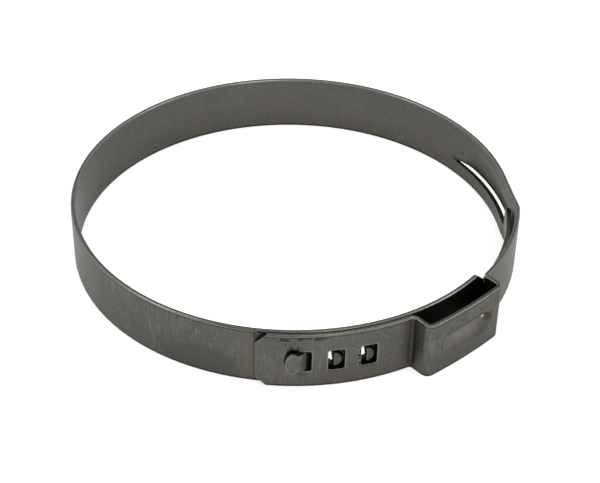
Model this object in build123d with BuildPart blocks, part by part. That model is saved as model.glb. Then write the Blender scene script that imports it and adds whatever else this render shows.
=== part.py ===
from build123d import *
from math import asin, atan2, cos, degrees, hypot, radians, sin, sqrt
import os

# Boot clamp: one strip of spring-hard stainless steel, rolled into a ring and hooked
# to itself. The ring lies on one edge of the strip. Z is the axis of the bore, the
# origin is the middle of the bore at half the strip's width, and the closing ear
# faces -Y. Seen from above the strip runs anticlockwise: free end, windows, ear,
# step, drawn channel, once round the bore, hooks under the windows, and last the
# tongue, which passes under the ear and into the mouth of the channel.
# Places on the strip are millimetres along it from the middle of the ear.

# Strip
band_width = 10.0
band_thickness = 0.8
bore_radius = 35.8
edge_break = 0.22

# Radial room between the layers: snug at the hooks, loose over the tongue
lap_clearance = 0.08
tongue_clearance = 0.38

# Closing ear: width and height of the bent strip at half its thickness
ear_width = 15.4
ear_height = 3.5
ear_bow = 0.35
ear_corner_radius = 0.9
ear_foot_radius = 0.85

# Stiffening dimple pressed into the crown of the ear
dimple_length = 11.7
dimple_height = 4.4
dimple_depth = 0.65
dimple_draft = 55.0
dimple_rim_round = 0.4
dimple_floor_round = 1.0

# Free end of the outer layer, with its corners cut off
free_end = 31.9
free_end_cut_long = 1.85
free_end_cut_high = 1.7

# Windows of the outer layer: two plain ones, then a keyhole with a rounded end
window_from_ear = 14.95
window_pitch = 4.95
window_length = 2.55
window_height = 3.75
window_corner = 0.4
keyhole_length = 4.05
keyhole_round_length = 2.7
keyhole_round_height = 4.6

# Supporting hooks, drawn out of the inner layer into the plain windows
hook_mouth_offset = -0.4
hook_rise = 0.88
hook_base_radius = 1.5
hook_top_radius = 1.2
hook_top_round = 0.4
hook_wall = 0.42
hook_crown = 0.75
hook_opening_length = 0.5
hook_opening_height = 2.5

# Lock tab, drawn out of the inner layer and bent out through the keyhole, and its
# oval head, which stands proud of the outer layer
tab_width = 3.4
tab_proud = 0.85
tab_root_gap = 0.3
tab_slope_length = 1.6
tab_bend_radius = 0.75
tab_shear = 0.12
tab_opening_length = 1.3
tab_head_gap = 0.1
tab_head_height = 4.0
tab_head_round = 0.25

# End of the inner layer: cut corners at its shoulder, then the tongue
shoulder = 8.7
shoulder_cut_long = 2.1
shoulder_cut_high = 2.0
tongue_width = 4.2
tongue_tip = 31.0
tongue_tip_round = 0.6

# Step of the whole strip, from the bore out over the tongue
step_end = 33.4
step_angle = 6.0
step_bend_radius = 5.0

# Channel drawn out of the middle of the strip, which takes the tongue
channel_width = 4.6
channel_shear = 0.14
channel_slit_end = 53.1
channel_foot = 55.6
channel_angle = 9.0
channel_bend_radius = 10.0

# Directions, and how far a cut reaches past the metal
ear_angle = -90.0
full_turn = 360.0
half_turn = 180.0
overcut = 1.0
tolerance = 0.01

# Radii of the strip at half its thickness, and of the joint between its layers
inner_line = bore_radius + band_thickness / 2
lap_line = inner_line + band_thickness + lap_clearance
raised_line = inner_line + band_thickness + tongue_clearance
lap_radius = (inner_line + lap_line) / 2

# Crown of the ear: a shallow arc about an axis behind the bore's own
ear_half = ear_width / 2
crown_line = inner_line + band_thickness / 2 + ear_height
crown_radius = (ear_half**2 + ear_bow**2) / (2 * ear_bow)
crown_axis_y = crown_radius - crown_line
ear_corner_line = crown_line - ear_bow

# Places that follow from the sizes above
half_width = band_width / 2
left_foot = -lap_radius * asin(ear_half / lap_line)
right_foot = lap_radius * asin(ear_half / raised_line)
once_round = lap_radius * radians(full_turn)
layer_joint = step_end + step_bend_radius / 2
channel_joint = channel_foot + channel_bend_radius / 4
plain_windows = [-window_from_ear, -window_from_ear - window_pitch]
keyhole_right = -window_from_ear - 2 * window_pitch + window_length / 2
keyhole_left = keyhole_right - keyhole_length
tab_line = lap_line + tab_proud
tab_root = keyhole_right - tab_root_gap
tab_top = tab_root - tab_slope_length
tab_head_middle = keyhole_left + keyhole_round_length / 2
tab_head_length = keyhole_round_length - 2 * tab_head_gap
tab_head_left = tab_head_middle - tab_head_length / 2
tab_head_right = tab_head_middle + tab_head_length / 2
tab_shear_end = tab_root + tab_bend_radius
tab_joint = tab_shear_end + tab_bend_radius
tab_opening_end = tab_root - tab_opening_length


def strip_angle(distance):
    """Direction, in degrees, of a place on the strip."""
    return ear_angle + degrees(distance / lap_radius)


def strip_point(distance, radius):
    """Point of the plan at a place on the strip and a radius from the bore's axis."""
    angle = radians(strip_angle(distance))
    return (radius * cos(angle), radius * sin(angle))


def strip_arc(radius, first, last):
    """Arc about the bore's axis between two places on the strip."""
    start = strip_angle(first)
    return CenterArc((0, 0), radius, start, strip_angle(last) - start)


def strip_plane(distance, radius):
    """Plane lying on the strip: X runs along it, Y is up and Z points outwards."""
    angle = radians(strip_angle(distance))
    outward = Vector(cos(angle), sin(angle), 0)
    along = Vector(-sin(angle), cos(angle), 0)
    return Plane(origin=outward * radius, x_dir=along, z_dir=outward)


def ramp_start(foot, angle):
    """Place where a straight ramp that leaves the bore at an angle gets to the raised line."""
    slope = radians(angle)
    length = sqrt(raised_line**2 - (inner_line * cos(slope)) ** 2) - inner_line * sin(slope)
    turned = atan2(length * cos(slope), inner_line + length * sin(slope))
    return foot - lap_radius * turned


def bend(path, point, radius):
    """Rounds the corner of a plan path that lies nearest to a point."""
    fillet(path.vertices().sort_by_distance(point)[0], radius)


def end_corners(part, distance, line):
    """The two short edges across the strip's thickness where it is cut square."""
    x, y = strip_point(distance, line)
    short = part.edges().filter_by(lambda e: abs(e.length - band_thickness) < tolerance)
    return short.filter_by(lambda e: hypot(e.center().X - x, e.center().Y - y) < tolerance)


def long_edges(part):
    """The edges along the strip's upper and lower sides, without its square ends."""
    sides = part.edges().filter_by(lambda e: abs(abs(e.center().Z) - half_width) < tolerance)
    return sides.filter_by(lambda e: abs(e.length - band_thickness) > tolerance)


def square_end(part, distance, line):
    """The flat face where the strip is cut square across."""
    return part.faces().filter_by(GeomType.PLANE).sort_by_distance(strip_point(distance, line))[0]


def strip_slab(path_edges, width):
    """Strip of the band's thickness that follows a plan path, for a given width."""
    with BuildPart() as slab:
        with BuildSketch() as plan:
            trace(path_edges, line_width=band_thickness)
        extrude(amount=width / 2, both=True)
    return slab.part


def middle_of_strip(first, last, height, radius):
    """Block that holds the middle of the strip between two places, up to a radius."""
    with BuildPart() as block:
        with BuildSketch():
            with BuildLine():
                near = strip_arc(bore_radius - overcut, first, last)
                far = strip_arc(radius, first, last)
                Line(near @ 0, far @ 0)
                Line(near @ 1, far @ 1)
            make_face()
        extrude(amount=height / 2, both=True)
    return block.part


def press_tool(start_line, floor_reach):
    """Tapered stadium that enters the crown at one line and has a bowed floor."""
    entry = Plane(origin=(0, -start_line, 0), x_dir=(1, 0, 0), z_dir=(0, -1, 0))
    with BuildPart() as tool:
        with BuildSketch(entry):
            SlotOverall(dimple_length, dimple_height)
        extrude(amount=-dimple_depth - ear_bow - band_thickness / 2, taper=dimple_draft)
        with Locations((0, crown_axis_y, 0)):
            Cylinder(floor_reach, band_width, mode=Mode.SUBTRACT)
    return tool.part


def crown_reach(edge):
    """Distance of an edge's middle from the axis of the ear's bowed crown."""
    middle = edge @ (1 / 2)
    return hypot(middle.X, middle.Y - crown_axis_y)


step_start = ramp_start(step_end, step_angle)
channel_mouth = step_start - step_bend_radius / 5
channel_ramp = ramp_start(channel_foot, channel_angle)

# Outer layer, at full width: free end, ear, raised stretch and step
with BuildLine() as outer_path:
    lap = strip_arc(lap_line, -free_end, left_foot)
    left_leg = Line(lap @ 1, (-ear_half, -ear_corner_line))
    crown = ThreePointArc(left_leg @ 1, (0, -crown_line), (ear_half, -ear_corner_line))
    right_leg = Line(crown @ 1, strip_point(right_foot, raised_line))
    raised = strip_arc(raised_line, right_foot, step_start)
    step = Line(raised @ 1, strip_point(step_end, inner_line))
    strip_arc(inner_line, step_end, layer_joint)
    bend(outer_path, left_leg @ 0, ear_foot_radius)
    bend(outer_path, crown @ 0, ear_corner_radius)
    bend(outer_path, crown @ 1, ear_corner_radius)
    bend(outer_path, right_leg @ 1, ear_foot_radius)
    bend(outer_path, step @ 0, step_bend_radius)
    bend(outer_path, step @ 1, step_bend_radius)

with BuildPart() as outer_layer:
    add(strip_slab(outer_path.line, band_width))
    chamfer(
        end_corners(outer_layer, -free_end, lap_line),
        length=free_end_cut_high,
        length2=free_end_cut_long,
        reference=square_end(outer_layer, -free_end, lap_line),
    )
    chamfer(long_edges(outer_layer), edge_break)

    # Two plain windows
    for place in plain_windows:
        with BuildSketch(strip_plane(place, inner_line)):
            RectangleRounded(window_length, window_height, window_corner)
        extrude(amount=lap_line - inner_line + band_thickness, mode=Mode.SUBTRACT)

    # Keyhole window: a square stretch that ends in a rounded one
    keyhole_square = keyhole_length - keyhole_round_length / 2
    with BuildSketch(strip_plane(keyhole_right, inner_line)):
        with Locations((-keyhole_square / 2, 0)):
            RectangleRounded(keyhole_square, window_height, window_corner)
        with Locations((-keyhole_square, 0)):
            Ellipse(keyhole_round_length / 2, keyhole_round_height / 2)
    extrude(amount=lap_line - inner_line + band_thickness, mode=Mode.SUBTRACT)

    # Dimple of the ear: swollen towards the bore, then hollowed from outside
    add(press_tool(crown_line, crown_radius - band_thickness / 2 - dimple_depth))
    add(
        press_tool(crown_line + band_thickness / 2, crown_radius + band_thickness / 2 - dimple_depth),
        mode=Mode.SUBTRACT,
    )
    hollow_edges = outer_layer.edges(Select.LAST)
    rim_reach = crown_radius + band_thickness / 2
    rim = hollow_edges.filter_by(lambda e: abs(crown_reach(e) - rim_reach) < tolerance)
    floor = hollow_edges.filter_by(lambda e: abs(crown_reach(e) - rim_reach + dimple_depth) < tolerance)
    fillet(floor, dimple_floor_round)
    fillet(rim, dimple_rim_round)

# Lock tab: a narrow neck bent from the inner layer out through the keyhole
with BuildLine() as tab_path:
    tab_foot = strip_arc(inner_line, tab_joint, tab_root)
    tab_slope = Line(tab_foot @ 1, strip_point(tab_top, tab_line))
    strip_arc(tab_line, tab_top, tab_head_middle)
    bend(tab_path, tab_slope @ 0, tab_bend_radius)
    bend(tab_path, tab_slope @ 1, tab_bend_radius)

# Head of the lock tab: an oval just smaller than the keyhole's rounded end
with BuildLine() as tab_head_path:
    strip_arc(tab_line, tab_head_left, tab_head_right)

with BuildPart() as lock_tab:
    add(strip_slab(tab_head_path.line, tab_head_height))
    with BuildSketch(strip_plane(tab_head_middle, inner_line)):
        Ellipse(tab_head_length / 2, tab_head_height / 2)
    extrude(amount=tab_line - inner_line + band_thickness, mode=Mode.INTERSECT)
    fillet(lock_tab.edges(), tab_head_round)
    add(strip_slab(tab_path.line, tab_width))

# Inner layer, at full width: from the step once round the bore to the shoulder
with BuildLine() as inner_path:
    strip_arc(inner_line, layer_joint, once_round + shoulder)

with BuildPart() as inner_layer:
    add(strip_slab(inner_path.line, band_width))
    chamfer(
        end_corners(inner_layer, shoulder, inner_line),
        length=shoulder_cut_high,
        length2=shoulder_cut_long,
        reference=square_end(inner_layer, shoulder, inner_line),
    )
    chamfer(long_edges(inner_layer), edge_break)

    # Supporting hooks: half a dome each, its mouth towards the free end
    for place in plain_windows:
        on_strip = strip_plane(place, bore_radius)
        mouth = on_strip.from_local_coords(Vector(hook_mouth_offset, 0, 0))
        through_mouth = Plane(origin=mouth, x_dir=(0, 0, 1), z_dir=on_strip.x_dir)
        dome_top = band_thickness + hook_rise
        with BuildSketch(through_mouth):
            with BuildLine() as dome:
                Polyline(
                    (0, band_thickness / 2),
                    (hook_base_radius, band_thickness / 2),
                    (hook_top_radius, dome_top),
                    (0, dome_top),
                    close=True,
                )
                bend(dome, (hook_top_radius, dome_top), hook_top_round)
            make_face()
        revolve(axis=Axis(mouth, on_strip.z_dir), revolution_arc=-half_turn)
        with BuildSketch(through_mouth):
            with BuildLine():
                Polyline(
                    (0, -overcut),
                    (hook_base_radius - hook_wall, -overcut),
                    (hook_base_radius - hook_wall, band_thickness),
                    (hook_top_radius - hook_wall, dome_top - hook_crown),
                    (0, dome_top - hook_crown),
                    close=True,
                )
            make_face()
        revolve(axis=Axis(mouth, on_strip.z_dir), mode=Mode.SUBTRACT)
        with BuildSketch(on_strip.offset(-overcut)):
            with Locations((hook_mouth_offset, 0)):
                Ellipse(hook_opening_length, hook_opening_height / 2)
                Rectangle(
                    hook_opening_length,
                    hook_opening_height,
                    align=(Align.MAX, Align.CENTER),
                    mode=Mode.INTERSECT,
                )
        extrude(amount=dome_top + 2 * overcut, mode=Mode.SUBTRACT)

    # Opening that the lock tab leaves, with a shear gap on both sides of the tab
    add(
        middle_of_strip(tab_opening_end, tab_joint, tab_width, lap_radius + overcut),
        mode=Mode.SUBTRACT,
    )
    add(
        middle_of_strip(tab_opening_end, tab_shear_end, tab_width + 2 * tab_shear, lap_radius + overcut),
        mode=Mode.SUBTRACT,
    )
    add(lock_tab.part)

# Floor of the channel: raised over the tongue, then down a ramp to the bore
with BuildLine() as channel_path:
    channel_floor = strip_arc(raised_line, channel_mouth, channel_ramp)
    ramp = Line(channel_floor @ 1, strip_point(channel_foot, inner_line))
    strip_arc(inner_line, channel_foot, channel_joint)
    bend(channel_path, ramp @ 0, channel_bend_radius)
    bend(channel_path, ramp @ 1, channel_bend_radius)

# Tongue at the inner end of the strip
with BuildLine() as tongue_path:
    strip_arc(inner_line, shoulder, tongue_tip)

with BuildPart() as tongue:
    add(strip_slab(tongue_path.line, tongue_width))
    fillet(end_corners(tongue, tongue_tip, inner_line), tongue_tip_round)

# The whole strip, slit along both sides of the channel
with BuildPart() as clamp_band:
    add(outer_layer.part)
    add(inner_layer.part)
    add(
        middle_of_strip(channel_mouth, channel_joint, channel_width, raised_line + overcut),
        mode=Mode.SUBTRACT,
    )
    add(
        middle_of_strip(
            channel_mouth,
            channel_slit_end,
            channel_width + 2 * channel_shear,
            raised_line + overcut,
        ),
        mode=Mode.SUBTRACT,
    )
    add(strip_slab(channel_path.line, channel_width))
    add(tongue.part)

clamp_band.part.label = "clamp_band"
os.makedirs("parts", exist_ok=True)
export_step(clamp_band.part, "parts/clamp_band.step")
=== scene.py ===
from math import cos, pi, radians, sin

import bpy
from bpy.props import FloatProperty, FloatVectorProperty, IntProperty, PointerProperty
from bpy.types import Operator, Panel, PropertyGroup
from mathutils import Matrix, Vector


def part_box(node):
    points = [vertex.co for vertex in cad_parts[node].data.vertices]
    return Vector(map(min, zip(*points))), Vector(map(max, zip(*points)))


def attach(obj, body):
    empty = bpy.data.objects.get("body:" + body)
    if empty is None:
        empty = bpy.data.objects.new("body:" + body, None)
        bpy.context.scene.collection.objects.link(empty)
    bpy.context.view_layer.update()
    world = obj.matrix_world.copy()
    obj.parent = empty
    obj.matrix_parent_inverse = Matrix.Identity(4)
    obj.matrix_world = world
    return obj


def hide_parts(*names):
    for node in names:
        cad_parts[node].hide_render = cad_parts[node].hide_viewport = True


bl_info = {
    "name": "Boot clamp",
    "version": (1, 0, 0),
    "blender": (4, 5, 0),
    "location": "View3D > Sidebar > Boot clamp",
    "description": "Finishes the strip of a boot clamp and sets up its stage",
    "category": "Object",
}

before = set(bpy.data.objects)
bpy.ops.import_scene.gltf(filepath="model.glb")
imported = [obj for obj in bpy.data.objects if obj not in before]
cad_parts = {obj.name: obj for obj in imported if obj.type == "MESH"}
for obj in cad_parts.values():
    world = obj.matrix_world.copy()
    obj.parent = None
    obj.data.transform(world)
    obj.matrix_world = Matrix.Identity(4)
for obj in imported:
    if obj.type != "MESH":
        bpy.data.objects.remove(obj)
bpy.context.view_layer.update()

MM = 0.001
BAND = "clamp_band"
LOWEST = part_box(BAND)[0].z
SMOOTH_ANGLE = radians(50)

# Places on the strip in millimetres, as in the part's source. A place along the
# strip is an arc at the lap's radius: 0 at the middle of the ear, and less than 0
# towards the free end.
HALF_WIDTH = 5.0
LAP_RADIUS = 36.64
OUTER_SIDE = 36.3
SKIN_RADIUS = 37.48
CROWN_FRONT = -38.0
FREE_END = -31.8
PLAIN_WINDOWS = (-14.95, -19.9)
WINDOW_LENGTH = 2.55
WINDOW_HEIGHT = 3.75
KEYHOLE_RIGHT = -23.575
KEYHOLE_SQUARE = 2.7
TAB_HEAD = KEYHOLE_RIGHT - KEYHOLE_SQUARE
TAB_HEAD_HALF_LENGTH = 1.25
TAB_HEAD_HALF_HEIGHT = 2.0

# The small round pits: one in some of the cells of a pattern
PIT_CELLS_PER_METRE = 300.0
LARGEST_PIT = 0.045
PIT_STEEPNESS = 60.0

# What the steel gives back of light that only grazes it
GRAZING_TINT = (0.78, 0.78, 0.77, 1.0)

# Roughness of the satin steel, what specks and grain add to it, and what the
# polished chamfers take off
SATIN_ROUGHNESS = 0.26
SPECK_ROUGHNESS = 0.16
GRAIN_ROUGHNESS = 0.12
CHAMFER_POLISH = 0.14


class StripSettings(PropertyGroup):
    """Sizes of the finish on the strip's edges."""

    merge: FloatProperty(
        name="Merge distance",
        description="Corners closer than this are one corner",
        default=0.002 * MM,
        subtype="DISTANCE",
    )
    flat_angle: FloatProperty(
        name="Flat angle",
        description="Faces that meet at less than this become one face",
        default=radians(0.4),
        subtype="ANGLE",
    )
    rollover: FloatProperty(
        name="Rollover",
        description="Width of the rounding left on each sheared edge",
        default=0.07 * MM,
        subtype="DISTANCE",
    )
    rollover_steps: IntProperty(
        name="Rollover steps",
        description="Faces across the rounding of a sheared edge",
        default=2,
        min=1,
    )
    sharp_angle: FloatProperty(
        name="Sharp angle",
        description="Edges that turn more than this were sheared",
        default=radians(32),
        subtype="ANGLE",
    )


class LipSettings(PropertyGroup):
    """Sizes of the thin lips at the mouths of the two hooks: dark plates that stand in for the shade
    there, as painted shade.
    """

    width: FloatProperty(
        name="Width",
        description="How far a lip reaches along the strip",
        default=0.42 * MM,
        subtype="DISTANCE",
    )
    height: FloatProperty(
        name="Height",
        description="How far a lip reaches across the strip",
        default=2.3 * MM,
        subtype="DISTANCE",
    )
    thickness: FloatProperty(
        name="Thickness",
        description="Thickness that is left where the hook tore",
        default=0.12 * MM,
        subtype="DISTANCE",
    )
    lean: FloatProperty(
        name="Lean",
        description="Lean of a lip, its upper end towards the free end",
        default=radians(9),
        subtype="ANGLE",
    )
    from_window: FloatProperty(
        name="From window",
        description="Middle of a lip from the middle of its window, towards the free end",
        default=0.49 * MM,
        subtype="DISTANCE",
    )
    rise: FloatProperty(
        name="Rise",
        description="Middle of a lip above the middle of its window",
        default=0.55 * MM,
        subtype="DISTANCE",
    )
    sunk: FloatProperty(
        name="Sunk",
        description="Outer face of a lip below the outer face of the strip",
        default=0.2 * MM,
        subtype="DISTANCE",
    )
    round: FloatProperty(
        name="Round",
        description="Rounding of a lip's corners",
        default=0.05 * MM,
        subtype="DISTANCE",
    )
    round_steps: IntProperty(
        name="Round steps",
        description="Faces across the rounding of a lip's corner",
        default=3,
        min=1,
    )


class SteelSettings(PropertyGroup):
    """Colours of the steel and of the light and shade painted on it, as linear values, and the depth of
    its relief.
    """

    steel: FloatVectorProperty(
        name="Steel",
        description="Colour of the clean satin strip",
        default=(0.086, 0.0862, 0.0775),
        subtype="COLOR",
    )
    warm: FloatVectorProperty(
        name="Warm patches",
        description="Colour of the faint warm patches",
        default=(0.102, 0.0935, 0.078),
        subtype="COLOR",
    )
    cold: FloatVectorProperty(
        name="Cold patches",
        description="Colour of the faint cold, duller patches",
        default=(0.067, 0.0685, 0.064),
        subtype="COLOR",
    )
    edge: FloatVectorProperty(
        name="Edge",
        description="Colour of the rubbed edges",
        default=(0.135, 0.137, 0.123),
        subtype="COLOR",
    )
    # Real brownish stains and shear marks, and also painted shade: low down on the strip and in
    # recesses
    stain_and_shade: FloatVectorProperty(
        name="Stain",
        description="Colour of the brownish stain in the bends",
        default=(0.046, 0.037, 0.024),
        subtype="COLOR",
    )
    # Real dark in the joint, pits and soot, and also painted shade: in recesses, creases, window
    # bottoms, beside the free end, along the lower edge and on the hook lips
    oil_and_shade: FloatVectorProperty(
        name="Oil",
        description="Colour of the dark oil in gaps and recesses",
        default=(0.010, 0.009, 0.008),
        subtype="COLOR",
    )
    # Painted shade, not a duller finish: on edge faces at the back, the lap's chamfers, the hooks and a
    # line under the upper edge
    shade: FloatVectorProperty(
        name="Shade",
        description="Colour of the duller edge behind and below",
        default=(0.035, 0.038, 0.030),
        subtype="COLOR",
    )
    # Mostly painted highlight: rims of the windows and the tab's head, the torn burr, chamfers,
    # rollovers and the ear's corner; also real wear and the scratch
    bright: FloatVectorProperty(
        name="Bright edge",
        description="Colour of the edges that handling keeps bright",
        default=(0.20, 0.204, 0.185),
        subtype="COLOR",
    )
    # Painted sheen: the dimple's floor made lighter for the light its hollow catches
    dimple_sheen: FloatVectorProperty(
        name="Burnished hollow",
        description="Colour of the floor of the dimple, rubbed light by its press tool",
        default=(0.165, 0.157, 0.135),
        subtype="COLOR",
    )
    glint: FloatVectorProperty(
        name="Glint",
        description="Colour of the small bright spot in the dimple",
        default=(0.75, 0.70, 0.55),
        subtype="COLOR",
    )
    relief: FloatProperty(
        name="Relief",
        description="Depth of the grain and of the rub marks",
        default=0.03 * MM,
        subtype="DISTANCE",
    )


class StageSettings(PropertyGroup):
    """Camera, floor and light."""

    azimuth: FloatProperty(
        name="Azimuth",
        description="Direction the camera looks in, clockwise from +Y",
        default=radians(42.26),
        subtype="ANGLE",
    )
    elevation: FloatProperty(
        name="Elevation",
        description="How far the camera looks down",
        default=radians(36.78),
        subtype="ANGLE",
    )
    roll: FloatProperty(
        name="Roll",
        description="Turn of the camera about its line of sight",
        default=radians(1.06),
        subtype="ANGLE",
    )
    distance: FloatProperty(
        name="Distance",
        description="From the camera to the plane of its aim",
        default=251.5 * MM,
        subtype="DISTANCE",
    )
    aim_right: FloatProperty(
        name="Aim right",
        description="The camera's place to the right of the ring's middle",
        default=1.37 * MM,
        subtype="DISTANCE",
    )
    aim_up: FloatProperty(
        name="Aim up",
        description="The camera's place above the ring's middle, in its own frame",
        default=-4.56 * MM,
        subtype="DISTANCE",
    )
    lens: FloatProperty(
        name="Lens",
        description="Focal length for a sensor 36 mm wide",
        default=89.6,
        subtype="NONE",
    )
    floor_radius: FloatProperty(
        name="Floor radius",
        description="Radius of the pale floor",
        default=3.0,
        subtype="DISTANCE",
    )
    floor_glow: FloatProperty(
        name="Floor glow",
        description="What the floor adds to its own white, in what the camera sees",
        default=0.5,
        subtype="NONE",
    )
    lamp_distance: FloatProperty(
        name="Lamp distance",
        description="From the ring's middle to each of the soft boxes",
        default=0.7,
        subtype="DISTANCE",
    )
    room_light: FloatProperty(
        name="Room light",
        description="Strength of the even light from round about",
        default=0.88,
        subtype="NONE",
    )


class Graph:
    """A material's or world's nodes, added and joined one after another."""

    def __init__(self, owner):
        owner.use_nodes = True
        self.tree = owner.node_tree
        self.tree.nodes.clear()

    def add(self, kind, inputs=(), **settings):
        """Adds a node, sets its properties and joins or sets its inputs."""
        node = self.tree.nodes.new(kind)
        for key, value in settings.items():
            setattr(node, key, value)
        for key, value in dict(inputs).items():
            self.feed(node.inputs[key], value)
        return node

    def feed(self, socket, value):
        """Joins an output to an input, or sets the input to a value."""
        if isinstance(value, bpy.types.NodeSocket):
            self.tree.links.new(value, socket)
        else:
            socket.default_value = value

    def math(self, operation, first, second=0.0, clamp=False):
        """A sum of two numbers."""
        node = self.add("ShaderNodeMath", {0: first, 1: second}, operation=operation)
        node.use_clamp = clamp
        return node.outputs[0]

    def product(self, first, *others):
        """Masks and numbers, multiplied."""
        for other in others:
            first = self.math("MULTIPLY", first, other)
        return first

    def total(self, first, *others):
        """Masks and numbers, added up."""
        for other in others:
            first = self.math("ADD", first, other)
        return first

    def rest(self, mask):
        """What a mask leaves open."""
        return self.math("SUBTRACT", 1.0, mask)

    def ramp(self, value, *stops):
        """A number remapped through grey stops, each a place and a level."""
        node = self.add("ShaderNodeValToRGB", {"Fac": value})
        points = node.color_ramp.elements
        while len(points) < len(stops):
            points.new(0.5)
        for point, (place, low_down_shade) in zip(points, stops):
            point.position = place
            point.color = (low_down_shade, low_down_shade, low_down_shade, 1)
        return node.outputs["Color"]

    def blend(self, amount, first, second):
        """One colour turning into another."""
        node = self.add("ShaderNodeMix", data_type="RGBA")
        factor, from_colour, to_colour = (node.inputs[place] for place in (0, 6, 7))
        self.feed(factor, amount)
        self.feed(from_colour, first)
        self.feed(to_colour, second)
        return node.outputs[2]

    def noise(self, place, stretch=(1, 1, 1), scale=1, detail=3, rough=0.6):
        """Noise over the object's own coordinates, stretched by three factors."""
        mapping = self.add("ShaderNodeMapping", {"Vector": place, "Scale": stretch})
        node = self.add(
            "ShaderNodeTexNoise",
            {"Vector": mapping.outputs[0], "Scale": scale, "Detail": detail, "Roughness": rough},
        )
        return node.outputs["Fac"]

    def recess(self, reach, closed_at, open_at):
        """1 deep in gaps and recesses, as far as a reach in metres looks for other metal."""
        around = self.add(
            "ShaderNodeAmbientOcclusion", {"Distance": reach}, samples=8, only_local=True
        )
        return self.ramp(around.outputs["AO"], (closed_at, 1.0), (open_at, 0.0))


def rgba(colour):
    """A colour property with full alpha."""
    return (colour[0], colour[1], colour[2], 1.0)


def strip_point(along, radius, height):
    """Point, in millimetres, at a place on the strip, a radius and a height."""
    turned = along / LAP_RADIUS
    return (radius * sin(turned), -radius * cos(turned), height)


def lip_shade_material(settings):
    """Dark steel of the hook lips, as painted shade, mottled with stains."""
    material = bpy.data.materials.new("lip_painted_shade")
    graph = Graph(material)
    place = graph.add("ShaderNodeTexCoord").outputs["Object"]
    mottle = graph.noise(place, scale=3000, detail=3, rough=0.6)
    stained = graph.ramp(mottle, (0.45, 0.0), (0.7, 0.6))
    base = graph.blend(stained, rgba(settings.oil_and_shade), rgba(settings.stain_and_shade))
    bump = graph.add("ShaderNodeBump", {"Height": mottle, "Strength": 0.5, "Distance": settings.relief})
    shader = graph.add(
        "ShaderNodeBsdfPrincipled",
        {"Base Color": base, "Roughness": 0.4, "Metallic": 1.0, "Normal": bump.outputs[0]},
    )
    graph.add("ShaderNodeOutputMaterial", {"Surface": shader.outputs[0]})
    return material


class StripPlaces:
    """Masks by the place on the strip, in millimetres, for the strip's marks and its painted light and
    shade.
    """

    def __init__(self, graph, place):
        self.graph = graph
        scaled = graph.add("ShaderNodeVectorMath", {0: place, 3: 1 / MM}, operation="SCALE")
        self.place = scaled.outputs[0]
        x, self.y, self.height = graph.add("ShaderNodeSeparateXYZ", {0: self.place}).outputs
        turned = graph.math("ARCTAN2", x, graph.math("MULTIPLY", self.y, -1.0))
        self.along = graph.math("MULTIPLY", turned, LAP_RADIUS)
        squares = graph.total(graph.math("POWER", x, 2.0), graph.math("POWER", self.y, 2.0))
        self.radius = graph.math("SQRT", squares)
        self.rise = graph.math("ABSOLUTE", self.height)
        facing = graph.add("ShaderNodeNewGeometry").outputs["True Normal"]
        upward = graph.add("ShaderNodeSeparateXYZ", {0: facing}).outputs["Z"]
        self.upward = graph.math("ABSOLUTE", upward)

        # On the band's outer side, and on the outer face of the lapped layer
        self.outer = self.above(self.radius, OUTER_SIDE, soft=0.1)
        self.skin = self.band(self.radius, SKIN_RADIUS - 0.06, SKIN_RADIUS + 0.08, soft=0.02)

    def above(self, value, start, soft):
        """1 where a value is past a limit, with a soft start."""
        return self.graph.math("DIVIDE", self.graph.math("SUBTRACT", value, start), soft, clamp=True)

    def below(self, value, end, soft):
        """1 where a value is short of a limit, with a soft end."""
        return self.graph.math("DIVIDE", self.graph.math("SUBTRACT", end, value), soft, clamp=True)

    def band(self, value, low, high, soft):
        """1 where a value lies between two limits, with soft ends."""
        return self.graph.product(self.above(value, low, soft), self.below(value, high, soft))

    def spot(self, middle, radii, soft=0.5, ragged=None):
        """1 in a soft round mark about a point, torn by a noise where one is given."""
        graph = self.graph
        apart = graph.add("ShaderNodeVectorMath", {0: self.place, 1: middle}, operation="SUBTRACT")
        shrunk = graph.add("ShaderNodeVectorMath", {0: apart.outputs[0], 1: radii}, operation="DIVIDE")
        length = graph.add("ShaderNodeVectorMath", {0: shrunk.outputs[0]}, operation="LENGTH")
        far = length.outputs["Value"]
        if ragged is not None:
            far = graph.total(far, graph.math("SUBTRACT", ragged, 0.5))
        return self.below(far, 1.0, soft)

    def chamfer(self):
        """1 on the narrow slopes along the strip's long edges."""
        sloping = self.band(self.upward, 0.25, 0.93, soft=0.02)
        return self.graph.product(sloping, self.above(self.rise, HALF_WIDTH - 0.24, soft=0.02))

    def edge_face(self):
        """1 on the flat edge faces of the strip."""
        flat = self.above(self.upward, 0.93, soft=0.02)
        return self.graph.product(flat, self.above(self.rise, HALF_WIDTH - 0.05, soft=0.02))

    def joint(self):
        """1 in the line between the inner and outer layers, seen on the edge."""
        near = self.band(self.radius, LAP_RADIUS - 0.15, LAP_RADIUS + 0.15, soft=0.08)
        lapped = self.band(self.along, FREE_END + 0.1, 8.6, soft=0.2)
        return self.graph.product(near, lapped, self.above(self.rise, HALF_WIDTH - 0.5, soft=0.1))

    def oval(self, middle, half_length, half_height):
        """How far out a place lies in an oval about a place of the strip, 1 on its rim."""
        graph = self.graph
        sideways = graph.math("DIVIDE", graph.math("SUBTRACT", self.along, middle), half_length)
        upwards = graph.math("DIVIDE", self.height, half_height)
        squares = graph.total(graph.math("POWER", sideways, 2.0), graph.math("POWER", upwards, 2.0))
        return graph.math("SQRT", squares)

    def window_rim(self, middle, half_length, half_height):
        """1 in the rolled-over rim round a window of the outer layer."""
        graph = self.graph
        from_middle = graph.math("ABSOLUTE", graph.math("SUBTRACT", self.along, middle))
        sideways = graph.math("SUBTRACT", from_middle, half_length)
        upwards = graph.math("SUBTRACT", self.rise, half_height)
        away = graph.math("MAXIMUM", sideways, upwards)
        return graph.product(self.band(away, -0.05, 0.2, soft=0.06), self.skin)


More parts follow.
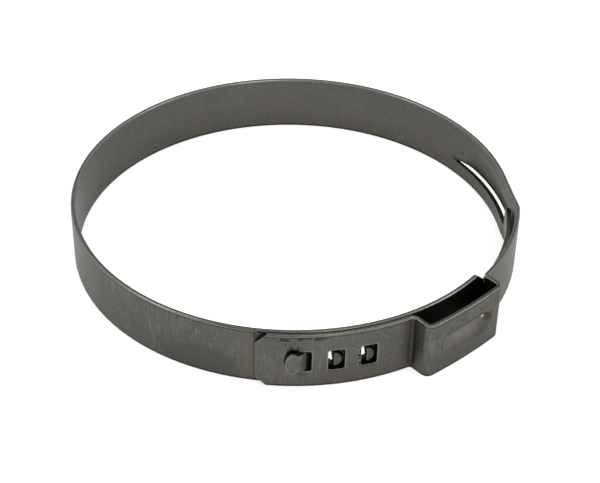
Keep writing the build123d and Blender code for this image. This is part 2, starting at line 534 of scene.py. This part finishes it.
class StripFinish:
    """Satin stainless strip: rolled grain, faint patches, rub marks, stains and pits, with painted
    light and shade.
    """

    def __init__(self, name, settings):
        self.settings = settings
        self.material = bpy.data.materials.new(name)
        self.graph = Graph(self.material)
        self.place = self.graph.add("ShaderNodeTexCoord").outputs["Object"]
        self.places = StripPlaces(self.graph, self.place)
        self.noises()
        self.base = rgba(settings.steel)

    def noises(self):
        """The noises that grain, rub marks, stains and pits are made of."""
        graph, place = self.graph, self.place
        self.grain = graph.noise(place, stretch=(60, 60, 2600), detail=4, rough=0.7)
        self.rubs = graph.noise(place, stretch=(2200, 2200, 260), detail=3, rough=0.65)
        self.torn = graph.noise(place, stretch=(1, 1, 1.6), scale=700, detail=4, rough=0.65)
        self.speck = graph.noise(place, scale=2600, detail=2, rough=0.6)
        self.pit = self.pits()

        patches = graph.noise(place, scale=110, detail=2, rough=0.5)
        self.streaks = graph.product(
            graph.ramp(self.rubs, (0.42, 0.0), (0.68, 1.0)),
            graph.ramp(patches, (0.46, 0.0), (0.62, 1.0)),
            graph.total(graph.product(self.places.outer, 0.7), 0.3),
        )

        # The marks of the shear: short strokes across the strip's edge
        squeezed = graph.product(self.places.along, 5.0)
        strokes = graph.add("ShaderNodeCombineXYZ", {0: squeezed, 1: self.places.radius})
        self.hatch = graph.noise(strokes.outputs[0], detail=3, rough=0.7)

    def pits(self):
        """1 in the few small round pits."""
        graph = self.graph
        cells = graph.add(
            "ShaderNodeTexVoronoi", {"Vector": self.place, "Scale": PIT_CELLS_PER_METRE}
        )
        chance = graph.add("ShaderNodeSeparateColor", {0: cells.outputs["Color"]}).outputs[0]
        inside = graph.math("SUBTRACT", graph.product(chance, LARGEST_PIT), cells.outputs["Distance"])
        return graph.ramp(graph.product(inside, PIT_STEEPNESS), (0.0, 0.0), (0.6, 1.0))

    def lay(self, colour, strength, *masks):
        """Lays a colour over the steel, where all the masks are open."""
        amount = self.graph.product(strength, *masks)
        self.base = self.graph.blend(amount, self.base, rgba(colour))

    def mill_finish(self):
        """Faint warm and cold clouds, as rolled and handled strip has."""
        graph = self.graph
        cloud = graph.noise(self.place, stretch=(1, 1, 1.3), scale=150, detail=4, rough=0.55)
        drift = graph.noise(self.place, scale=60, detail=2, rough=0.5)
        self.lay(self.settings.warm, 1.0, graph.ramp(cloud, (0.42, 0.0), (0.60, 0.5)))
        self.lay(self.settings.cold, 0.5, graph.ramp(drift, (0.52, 0.0), (0.62, 1.0)))

    def rub_marks(self):
        """Streaks, grain, specks, fine scuffs and brown flecks, most of them on the outer side."""
        graph, settings, outer = self.graph, self.settings, self.places.outer
        self.lay(settings.edge, 0.75, self.streaks)
        self.lay(settings.edge, 0.16, graph.ramp(self.grain, (0.4, 0.0), (0.75, 1.0)))
        self.lay(settings.stain_and_shade, 0.3, graph.ramp(self.speck, (0.45, 0.0), (0.75, 1.0)))
        scuffs = graph.noise(self.place, stretch=(3600, 3600, 520), detail=2, rough=0.6)
        self.lay(settings.edge, 0.85, graph.ramp(scuffs, (0.60, 0.0), (0.70, 1.0)), outer)
        flecks = graph.noise(self.place, stretch=(1, 1, 0.6), scale=2100, detail=2, rough=0.6)
        self.lay(settings.stain_and_shade, 0.6, graph.ramp(flecks, (0.62, 0.0), (0.70, 1.0)), outer)

    def band_marks(self):
        """The dull patch, the warm patch, the blotch and the scratch left of the free end."""
        graph, settings, places, torn = self.graph, self.settings, self.places, self.torn
        dull = places.spot((-33.0, -16.0, -2.9), radii=(7.0, 7.5, 3.6), soft=0.25, ragged=torn)
        self.lay(settings.cold, 0.8, dull, places.outer)
        drift = graph.noise(self.place, scale=420, detail=5, rough=0.7)
        drift = graph.total(graph.product(graph.math("SUBTRACT", drift, 0.5), 2.6), 0.5)
        warm = places.spot((-28.9, -22.4, -1.0), radii=(2.1, 2.1, 7.0), soft=0.6, ragged=drift)
        self.lay(settings.warm, 0.62, warm)
        blotch = places.spot((-36.6, 0.2, 3.8), radii=(1.0, 0.8, 1.5), soft=0.6, ragged=torn)
        self.lay(settings.edge, 0.5, blotch)

        leaning = graph.math("SUBTRACT", places.y, graph.product(places.height, 0.274))
        self.lay(
            settings.bright,
            0.8,
            places.band(leaning, -8.0, -7.78, soft=0.08),
            places.band(places.height, -3.2, 0.9, soft=0.6),
            places.band(places.along, -52, -46, soft=0.5),
            places.outer,
        )

    def ear_marks(self):
        """Stain in the ear's foot, painted shade in its bend, rub marks with painted highlight on its
        corner, its front darker low down, and a painted sheen, a painted glint and a darker end in the
        dimple.
        """
        graph, settings, places, torn = self.graph, self.settings, self.places, self.torn
        foot = places.spot((-8.9, -37.0, 0.0), radii=(2.2, 1.5, 12.0), soft=0.8, ragged=torn)
        self.lay(settings.stain_and_shade, 0.45, foot)
        # Painted shade in the crease of the ear's bend
        bend_shade = places.spot((-8.2, -36.85, 0.0), radii=(0.5, 0.6, 14.0), soft=0.5, ragged=torn)
        self.lay(settings.oil_and_shade, 0.5, bend_shade)
        # Rub marks on the ear's corner, made lighter as painted streak highlights
        corner = places.spot((-7.6, -39.9, 0.0), radii=(1.3, 1.3, 9.0), soft=0.5)
        self.lay(settings.bright, 0.22, corner, graph.ramp(self.rubs, (0.45, 0.0), (0.6, 1.0)))

        # Darker low on the crown's front
        front = places.spot((0.0, -40.3, -2.2), radii=(9.5, 1.2, 4.6), soft=0.6, ragged=torn)
        self.lay(settings.cold, 0.5, front)
        self.lay(
            settings.stain_and_shade,
            0.5,
            places.band(places.height, 1.6, 4.4, soft=0.8),
            places.below(places.y, CROWN_FRONT - 0.5, soft=0.3),
            graph.ramp(torn, (0.44, 0.0), (0.60, 1.0)),
        )
        # Painted sheen in the dimple and a darker right end
        dimple = places.spot((-0.6, -40.0, -0.2), radii=(5.8, 1.6, 2.3), soft=0.8, ragged=torn)
        self.lay(settings.dimple_sheen, 0.85, dimple)
        dimple_end = places.spot((5.0, -40.0, 0.6), radii=(1.0, 1.5, 1.5), soft=0.5, ragged=torn)
        self.lay(settings.stain_and_shade, 0.8, dimple_end)
        # Painted glint
        glint = places.spot((4.0, -39.9, 0.75), radii=(0.36, 0.8, 0.26), soft=0.4)
        self.lay(settings.glint, 1.0, glint)

    def window_marks(self):
        """Painted highlights on the rims of the windows and of the tab's head, and painted shade on the
        hooks and low in the windows.
        """
        graph, settings, places = self.graph, self.settings, self.places
        half_length, half_height = WINDOW_LENGTH / 2, WINDOW_HEIGHT / 2
        # Painted highlights on the rolled rims of the plain windows
        for middle in PLAIN_WINDOWS:
            self.lay(settings.bright, 0.75, places.window_rim(middle, half_length, half_height))
        half_square = KEYHOLE_SQUARE / 2
        # Painted highlights on the keyhole's rim and on the left of the tab head's rim
        rim = places.window_rim(KEYHOLE_RIGHT - half_square, half_square, half_height)
        self.lay(settings.bright, 0.7, rim, places.above(places.along, TAB_HEAD + 0.3, soft=0.1))
        head = places.oval(TAB_HEAD, TAB_HEAD_HALF_LENGTH, TAB_HEAD_HALF_HEIGHT)
        self.lay(
            settings.bright,
            0.5,
            places.band(head, 0.76, 1.2, soft=0.06),
            places.above(places.radius, SKIN_RADIUS + 0.3, soft=0.1),
            places.below(places.along, TAB_HEAD + 0.2, soft=0.4),
        )

        # Painted shade on the hooks inside the windows, and darker low in the windows
        sunk = places.below(places.radius, SKIN_RADIUS + 0.02, soft=0.02)
        proud = places.above(places.radius, SKIN_RADIUS + 0.02, soft=0.02)
        low = places.band(places.height, -2.4, -0.7, soft=0.5)
        for middle in PLAIN_WINDOWS:
            point = strip_point(middle + 0.2, SKIN_RADIUS, 0.0)
            hook = places.spot(point, radii=(1.6, 1.6, 1.9), soft=0.6, ragged=self.torn)
            inside = places.band(places.along, middle - half_length, middle + half_length, soft=0.05)
            self.lay(settings.shade, 0.55, hook, graph.rest(proud), inside)
            self.lay(settings.oil_and_shade, 0.85, low, sunk, inside)

    def lap_marks(self):
        """Warm tint, painted highlight and painted shade on the torn window edge, soot, a painted
        shadow beside the free end, and a painted dark line under the upper edge.
        """
        graph, settings, places, torn = self.graph, self.settings, self.places, self.torn
        warmed = places.band(places.along, -31.0, -11.0, soft=4.0)
        self.lay(settings.warm, 0.45, warmed, places.skin, graph.ramp(torn, (0.40, 0.2), (0.60, 1.0)))

        # Painted highlight and painted shade in shreds along the torn window edge
        tear = PLAIN_WINDOWS[0] - WINDOW_LENGTH / 2
        torn_edge_light_and_shade = graph.product(
            places.band(places.along, tear - 0.55, tear + 0.05, soft=0.12),
            places.band(places.height, -1.9, 1.9, soft=0.3),
            places.skin,
        )
        shreds = graph.noise(self.place, scale=1900, detail=2, rough=0.6)
        self.lay(settings.oil_and_shade, 0.9, torn_edge_light_and_shade, graph.ramp(shreds, (0.50, 0.0), (0.54, 1.0)))
        self.lay(settings.bright, 0.8, torn_edge_light_and_shade, graph.ramp(shreds, (0.42, 1.0), (0.46, 0.0)))

        self.lay(
            settings.oil_and_shade,
            0.85,
            places.band(places.along, -31.0, -20.0, soft=3.0),
            places.band(places.height, 3.8, 4.85, soft=0.35),
            graph.ramp(torn, (0.46, 0.0), (0.56, 1.0)),
            places.skin,
        )
        # Painted shadow on the inner layer beside the free end
        free_end_shadow = places.band(places.along, FREE_END - 0.5, FREE_END, soft=0.2)
        self.lay(settings.oil_and_shade, 0.7, free_end_shadow, places.band(places.radius, OUTER_SIDE, 36.68, soft=0.02))

        # Painted dark line on the upright outer faces just under the upper edge
        upright = graph.math("SUBTRACT", 1.0, graph.product(places.upward, 4.0), clamp=True)
        self.lay(
            settings.shade,
            0.8,
            places.band(places.height, HALF_WIDTH - 0.6, HALF_WIDTH - 0.2, soft=0.1),
            upright,
            places.outer,
            graph.ramp(torn, (0.35, 0.5), (0.55, 1.0)),
        )

    def edge_marks(self, rubbed):
        """Stained shear marks on the edge faces, painted shade on the edge faces at the back and on the
        lap's chamfers, and chamfers lighter with wear and a painted highlight.
        """
        graph, settings, places = self.graph, self.settings, self.places
        edge_face = places.edge_face()
        self.lay(settings.stain_and_shade, 1.0, edge_face, graph.ramp(self.hatch, (0.35, 0.0), (0.65, 0.8)))
        # Painted shade on the edge faces at the back of the ring
        behind = places.spot((25.0, 26.0, 5.0), radii=(24.0, 24.0, 3.0), soft=0.6)
        self.lay(settings.shade, 0.55, behind, edge_face)

        self.chamfer = places.chamfer()
        # Painted shade on the lap's chamfers, which also takes off their highlight
        lap_chamfer_shade = graph.product(places.band(places.along, -41.0, -13.0, soft=4.0), 0.8)
        self.lay(settings.shade, 0.65, self.chamfer, lap_chamfer_shade)
        # Chamfers lighter with wear and a painted highlight
        worn_and_lit = graph.ramp(self.hatch, (0.3, 1.0), (0.7, 0.3))
        self.lay(settings.bright, 1.0, self.chamfer, worn_and_lit, graph.rest(lap_chamfer_shade))
        # Rollover faces: specks of wear, and a painted highlight on the rounded edges
        if rubbed:
            self.lay(settings.bright, 1.0, graph.ramp(self.speck, (0.3, 1.0), (0.62, 0.5)))

    def dirt_and_painted_shade(self):
        """Painted shade low down, in the recesses and along the lower edge; real dark in the joint
        between the layers and in pits.
        """
        graph, settings, places = self.graph, self.settings, self.places
        # Painted shade, darker towards the bottom
        low_down_shade = graph.total(graph.product(places.height, 0.5 / HALF_WIDTH), 0.5)
        self.lay(settings.stain_and_shade, 1.0, graph.ramp(low_down_shade, (0.0, 0.24), (0.6, 0.0)))

        # Painted shade in the recesses is lighter on the outer face, the tab's head and the channel,
        # each by a share
        tab = graph.product(
            places.above(places.radius, SKIN_RADIUS + 0.08, soft=0.02),
            places.band(places.along, -32, -20, soft=0.5),
        )
        channel = places.band(places.along, 34, 56, soft=3.0)
        recess_shade_share = 1.0
        for spared, share in ((places.skin, 0.8), (tab, 0.75), (channel, 0.7)):
            recess_shade_share = graph.math("SUBTRACT", recess_shade_share, graph.product(spared, share), clamp=True)
        # Painted shade in recesses: broad, deep, and in fine gaps, where it is dirt as well
        self.lay(settings.stain_and_shade, 0.4, graph.recess(5 * MM, closed_at=0.5, open_at=0.93), recess_shade_share)
        self.lay(settings.oil_and_shade, 0.97, graph.recess(6 * MM, closed_at=0.2, open_at=0.5), recess_shade_share)
        self.lay(settings.oil_and_shade, 0.85, graph.recess(0.4 * MM, closed_at=0.3, open_at=0.7), recess_shade_share)
        self.lay(settings.oil_and_shade, 0.9, places.joint())
        # Painted shade along the lower edge
        self.lay(settings.oil_and_shade, 0.75, places.below(places.height, 0.62 - HALF_WIDTH, soft=0.25))
        self.lay(settings.oil_and_shade, 0.85, self.pit)

    def shade(self):
        """Joins colour, roughness and relief in the steel's shader."""
        graph = self.graph
        polish = graph.product(self.chamfer, CHAMFER_POLISH)
        rough = graph.total(
            graph.product(self.speck, SPECK_ROUGHNESS),
            graph.product(self.grain, GRAIN_ROUGHNESS),
            graph.math("SUBTRACT", SATIN_ROUGHNESS, polish),
        )
        raised = graph.total(
            graph.product(self.grain, 0.5),
            graph.product(self.speck, 0.5),
            graph.product(self.streaks, 0.6),
        )
        relief = graph.math("SUBTRACT", raised, graph.product(self.pit, 2.0))
        bump = graph.add(
            "ShaderNodeBump", {"Height": relief, "Strength": 0.55, "Distance": self.settings.relief}
        )
        shader = graph.add(
            "ShaderNodeBsdfPrincipled",
            {
                "Base Color": self.base,
                "Roughness": rough,
                "Metallic": 1.0,
                "Specular Tint": GRAZING_TINT,
                "Normal": bump.outputs[0],
            },
        )
        graph.add("ShaderNodeOutputMaterial", {"Surface": shader.outputs[0]})


def steel_material(name, settings, rubbed=False):
    """The strip's steel, or that of its sheared edges, lighter with wear and a painted highlight."""
    finish = StripFinish(name, settings)
    finish.mill_finish()
    finish.rub_marks()
    finish.band_marks()
    finish.ear_marks()
    finish.window_marks()
    finish.lap_marks()
    finish.edge_marks(rubbed)
    finish.dirt_and_painted_shade()
    finish.shade()
    return finish.material


def only(*pieces):
    """Makes pieces the ones that are selected, and the first of them active."""
    if bpy.context.mode != "OBJECT":
        bpy.ops.object.mode_set(mode="OBJECT")
    bpy.ops.object.select_all(action="DESELECT")
    for piece in pieces:
        piece.select_set(True)
    bpy.context.view_layer.objects.active = pieces[0]


def copy_node(node, name):
    """A new piece with its own copy of a CAD node's mesh."""
    piece = bpy.data.objects.new(name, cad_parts[node].data.copy())
    bpy.context.scene.collection.objects.link(piece)
    only(piece)
    return piece


class CLAMP_OT_strip(Operator):
    """Round the sheared edges of the strip and give it its satin finish"""

    bl_idname = "clamp.strip"
    bl_label = "Finish strip"

    def execute(self, context):
        size = context.scene.clamp_strip
        steel = context.scene.clamp_steel
        strip = copy_node(BAND, "stainless_strip")
        strip.data.materials.clear()
        strip.data.materials.append(steel_material("satin_steel", steel))
        # The rollovers' steel: wear and a painted highlight on the rounded edges
        strip.data.materials.append(steel_material("rubbed_and_lit_steel", steel, rubbed=True))

        bpy.ops.object.mode_set(mode="EDIT")
        bpy.ops.mesh.select_all(action="SELECT")
        bpy.ops.mesh.remove_doubles(threshold=size.merge)
        bpy.ops.mesh.customdata_custom_splitnormals_clear()
        bpy.ops.mesh.dissolve_limited(angle_limit=size.flat_angle)
        bpy.ops.object.mode_set(mode="OBJECT")

        self.roll_over(strip, size)
        bpy.ops.object.shade_smooth_by_angle(angle=SMOOTH_ANGLE)
        bpy.ops.object.modifier_add(type="WEIGHTED_NORMAL")
        weigh = strip.modifiers[-1]
        weigh.keep_sharp = True
        bpy.ops.object.modifier_apply(modifier=weigh.name)

        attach(strip, "root")
        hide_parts(BAND)
        return {"FINISHED"}

    def roll_over(self, strip, size):
        """Rounds the sheared edges, but not those of the pressed crown."""
        bpy.ops.object.mode_set(mode="EDIT")
        bpy.ops.mesh.select_mode(type="EDGE")
        bpy.ops.mesh.select_all(action="DESELECT")
        bpy.ops.mesh.edges_select_sharp(sharpness=size.sharp_angle)
        bpy.ops.object.mode_set(mode="OBJECT")
        corners = strip.data.vertices
        for edge in strip.data.edges:
            if min(corners[end].co.y for end in edge.vertices) < CROWN_FRONT * MM:
                edge.select = False
        # Corners and faces still selected would select the crown's edges again
        kept = {end for edge in strip.data.edges if edge.select for end in edge.vertices}
        for corner in corners:
            corner.select = corner.index in kept
        for face in strip.data.polygons:
            face.select = False
        bpy.ops.object.mode_set(mode="EDIT")
        # With clamp_overlap the shortest edge would limit the width everywhere
        bpy.ops.mesh.bevel(
            offset=size.rollover,
            segments=size.rollover_steps,
            clamp_overlap=False,
            loop_slide=False,
            material=1,
        )
        bpy.ops.object.mode_set(mode="OBJECT")


class CLAMP_OT_lips(Operator):
    """Add thin dark lips at the mouths of the two hooks, as painted shade"""

    bl_idname = "clamp.lips"
    bl_label = "Tear hook lips"

    def execute(self, context):
        size = context.scene.clamp_lips
        lips = [self.lip(size, middle * MM - size.from_window) for middle in PLAIN_WINDOWS]
        only(*lips)
        bpy.ops.object.join()
        piece = bpy.context.object
        piece.name = "hook_mouth_shades"
        # The lips' dark steel is painted shade for the hooks' mouths
        piece.data.materials.append(lip_shade_material(context.scene.clamp_steel))
        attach(piece, "root")
        return {"FINISHED"}

    def lip(self, size, along):
        """One thin, leaning plate that hangs from the mouth of a hook."""
        turned = along / (LAP_RADIUS * MM)
        outward = Vector((sin(turned), -cos(turned), 0))
        onward = Vector((cos(turned), sin(turned), 0))
        upward = Vector((0, 0, 1))
        lie = Matrix((onward, upward, outward)).transposed() @ Matrix.Rotation(size.lean, 3, "Z")
        place = outward * (SKIN_RADIUS * MM - size.sunk - size.thickness / 2) + upward * size.rise
        bpy.ops.object.select_all(action="DESELECT")
        bpy.ops.mesh.primitive_cube_add(size=1, location=place, rotation=lie.to_euler())
        plate = bpy.context.object
        plate.scale = (size.width, size.height, size.thickness)
        bpy.ops.object.transform_apply(location=True, rotation=True, scale=True)
        bpy.ops.object.modifier_add(type="BEVEL")
        corners = plate.modifiers[-1]
        corners.width = size.round
        corners.segments = size.round_steps
        bpy.ops.object.modifier_apply(modifier=corners.name)
        bpy.ops.object.shade_smooth_by_angle(angle=SMOOTH_ANGLE)
        return plate


class CLAMP_OT_stage(Operator):
    """Set up the pale floor, the soft light and the camera"""

    bl_idname = "clamp.stage"
    bl_label = "Set up stage"

    def execute(self, context):
        size = context.scene.clamp_stage
        self.floor(size)
        self.lamps(size)
        self.world(context, size)
        self.camera(context, size)
        context.scene.view_settings.view_transform = "Standard"
        return {"FINISHED"}

    def floor(self, size):
        """A plain disc under the ring, white to the eye but for the ring's shadow."""
        bpy.ops.object.select_all(action="DESELECT")
        bpy.ops.mesh.primitive_circle_add(
            vertices=64, radius=size.floor_radius, fill_type="NGON", location=(0, 0, LOWEST)
        )
        ground = bpy.context.object
        ground.name = "floor"
        bpy.ops.object.transform_apply(location=True)
        material = bpy.data.materials.new("pale_floor")
        graph = Graph(material)
        paint = graph.add("ShaderNodeBsdfDiffuse", {"Color": (0.9, 0.9, 0.9, 1)})
        glow = graph.product(seen_rays(graph), size.floor_glow)
        lift = graph.add("ShaderNodeEmission", {"Color": (1, 1, 1, 1), "Strength": glow})
        both = graph.add("ShaderNodeAddShader", {0: paint.outputs[0], 1: lift.outputs[0]})
        graph.add("ShaderNodeOutputMaterial", {"Surface": both.outputs[0]})
        ground.data.materials.append(material)

    def lamps(self, size):
        """Three soft boxes, high in front, to the right and to the left."""
        for name, towards, width, power in (
            ("front_light", (-0.18, -0.59, 0.785), 0.18, 0.55),
            ("right_light", (0.54, -0.60, 0.59), 0.18, 0.45),
            ("left_light", (-0.68, 0.33, 0.65), 0.22, 0.45),
        ):
            at = Vector(towards) * size.lamp_distance
            bpy.ops.object.light_add(type="AREA", location=at)
            lamp = bpy.context.object
            lamp.name = name
            lamp.data.shape = "SQUARE"
            lamp.data.size = width
            lamp.data.energy = power
            lamp.rotation_euler = (-at).to_track_quat("-Z", "Y").to_euler()

    def world(self, context, size):
        """A white backdrop and an even light round about."""
        world = bpy.data.worlds.new("studio")
        context.scene.world = world
        graph = Graph(world)
        light = graph.add("ShaderNodeBackground", {"Color": (1, 1, 1, 1), "Strength": size.room_light})
        white = graph.add("ShaderNodeBackground", {"Color": (1, 1, 1, 1), "Strength": 1.0})
        mixed = graph.add(
            "ShaderNodeMixShader", {0: seen_rays(graph), 1: light.outputs[0], 2: white.outputs[0]}
        )
        graph.add("ShaderNodeOutputWorld", {"Surface": mixed.outputs[0]})

    def camera(self, context, size):
        """The camera at the photograph's viewing angle."""
        turn = Matrix.Rotation(-size.azimuth, 3, "Z")
        turn = turn @ Matrix.Rotation(pi / 2 - size.elevation, 3, "X")
        turn = turn @ Matrix.Rotation(size.roll, 3, "Z")
        place = turn @ Vector((size.aim_right, size.aim_up, size.distance))
        bpy.ops.object.camera_add(location=place, rotation=turn.to_euler())
        camera = bpy.context.object
        camera.name = "camera"
        camera.data.sensor_width = 36
        camera.data.sensor_fit = "HORIZONTAL"
        camera.data.lens = size.lens
        camera.data.clip_start = 0.01
        context.scene.camera = camera


def seen_rays(graph):
    """1 for rays that show the backdrop: from the camera, off metal and through glass."""
    path = graph.add("ShaderNodeLightPath").outputs
    seen = graph.math("MAXIMUM", path["Is Camera Ray"], path["Is Glossy Ray"])
    return graph.math("MAXIMUM", seen, path["Is Transmission Ray"])


class CLAMP_PT_panel(Panel):
    """Pieces of the boot clamp"""

    bl_label = "Boot clamp"
    bl_idname = "CLAMP_PT_panel"
    bl_space_type = "VIEW_3D"
    bl_region_type = "UI"
    bl_category = "Boot clamp"

    def draw(self, context):
        for operator in OPERATORS:
            self.layout.operator(operator.bl_idname)


GROUPS = (
    ("clamp_strip", StripSettings),
    ("clamp_lips", LipSettings),
    ("clamp_steel", SteelSettings),
    ("clamp_stage", StageSettings),
)
OPERATORS = (CLAMP_OT_strip, CLAMP_OT_lips, CLAMP_OT_stage)


def register():
    for name, group in GROUPS:
        bpy.utils.register_class(group)
        setattr(bpy.types.Scene, name, PointerProperty(type=group))
    for operator in OPERATORS:
        bpy.utils.register_class(operator)
    bpy.utils.register_class(CLAMP_PT_panel)


def unregister():
    bpy.utils.unregister_class(CLAMP_PT_panel)
    for operator in reversed(OPERATORS):
        bpy.utils.unregister_class(operator)
    for name, group in reversed(GROUPS):
        delattr(bpy.types.Scene, name)
        bpy.utils.unregister_class(group)


def main():
    register()
    bpy.ops.clamp.strip()
    bpy.ops.clamp.lips()
    bpy.ops.clamp.stage()


if __name__ == "__main__":
    main()
